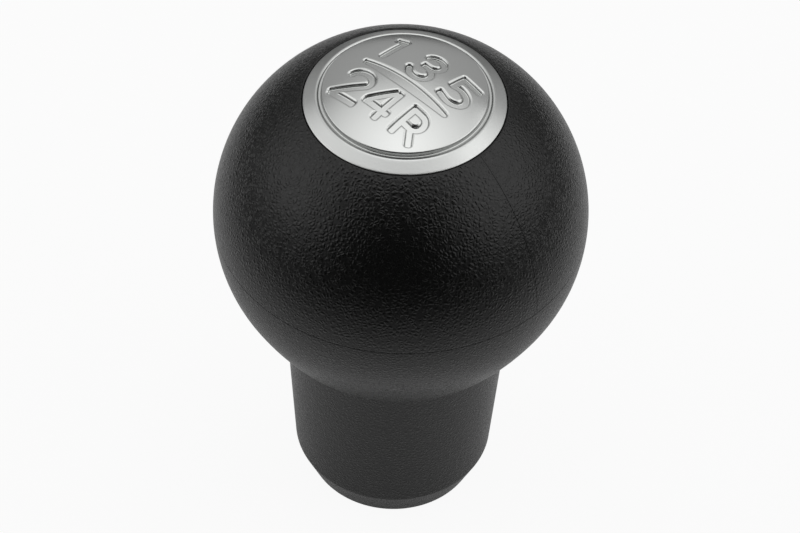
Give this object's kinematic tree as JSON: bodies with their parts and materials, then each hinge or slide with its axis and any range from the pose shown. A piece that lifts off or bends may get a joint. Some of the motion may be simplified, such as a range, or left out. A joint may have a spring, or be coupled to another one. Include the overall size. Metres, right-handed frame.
{
  "type": "gear shift knob",
  "caption": "Ball-shaped gear shift knob with a tapering neck, a grained black grip and a silver cap with a sunk shift pattern, pushed onto a gear lever.",
  "frame": {"origin": "centre of the foot, on the axis of the lever socket", "axes": "+Z up along the gear lever, +Y towards the front of the car, +X towards the car's right, so that the shift pattern reads upright seen from above with +Y up"},
  "size_m": [0.052, 0.052, 0.0771],
  "materials": {
    "grip": "moulded leather grain, satin black",
    "cap": "satin silver",
    "insert": "moulded, dark grey"
  },
  "bodies": {
    "root": {"knob_body": "grip", "shift_cap": "cap", "lever_insert": "insert"}
  },
  "joints": []
}
